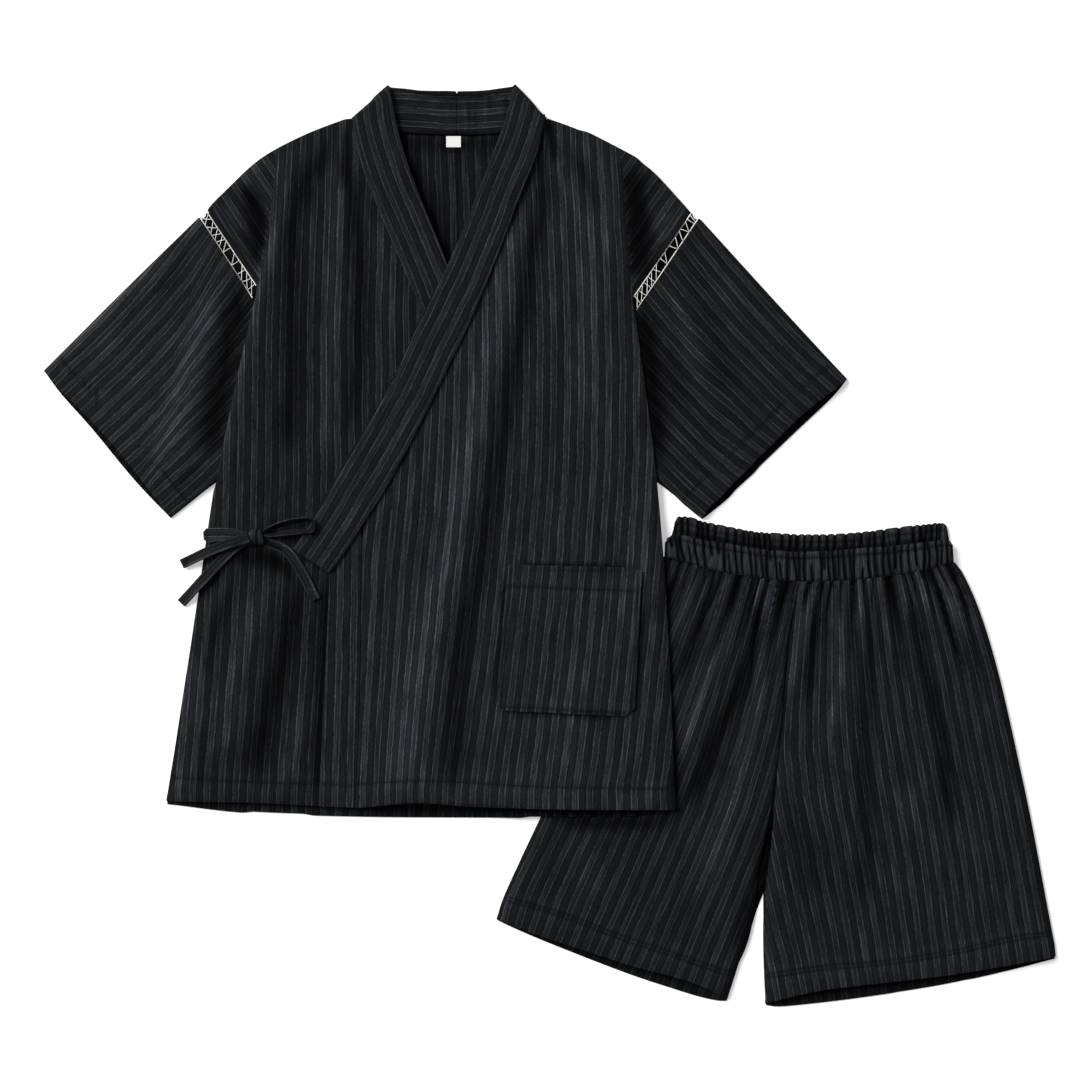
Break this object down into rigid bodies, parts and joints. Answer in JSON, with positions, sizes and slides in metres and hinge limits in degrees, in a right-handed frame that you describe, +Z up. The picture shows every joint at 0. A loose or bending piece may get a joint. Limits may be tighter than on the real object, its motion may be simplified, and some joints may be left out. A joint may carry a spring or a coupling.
{
  "type": "jinbei set laid flat",
  "caption": "wrap jacket with a folded collar band, side bow, patch pocket and openwork armholes, lying over gathered elastic-waist shorts",
  "frame": {"origin": "on the floor under the middle of the whole laid-out set", "axes": "+X to the viewer's right across both garments, +Y from the hems towards the collar, +Z up from the floor"},
  "size_m": [1.075, 0.9764, 0.0226],
  "materials": {
    "jacket_cloth": "matt slub cotton with woven stripes",
    "shorts_cloth": "matt slub cotton with woven stripes",
    "collar_cloth": "matt slub cotton with woven stripes",
    "lace_thread": "matt cotton thread",
    "label_tape": "plain woven tape"
  },
  "bodies": {
    "root": {"jacket_back": "jacket_cloth", "front_under": "jacket_cloth", "front_over": "jacket_cloth", "okumi_over": "jacket_cloth", "sleeve_left": "jacket_cloth", "sleeve_right": "jacket_cloth", "collar_over": "collar_cloth", "collar_under": "collar_cloth", "pocket": "collar_cloth", "tie_knot": "collar_cloth", "tie_loop_left": "collar_cloth", "tie_loop_right": "collar_cloth", "tie_strand_side": "collar_cloth", "tie_tail_left": "collar_cloth", "tie_tail_right": "collar_cloth", "shorts_front_left": "shorts_cloth", "shorts_front_right": "shorts_cloth", "shorts_back_left": "shorts_cloth", "shorts_back_right": "shorts_cloth", "waistband_front": "shorts_cloth", "waistband_back": "shorts_cloth", "lace_left_front": "lace_thread", "lace_left_back": "lace_thread", "lace_right_front": "lace_thread", "lace_right_back": "lace_thread", "label": "label_tape"}
  },
  "joints": []
}
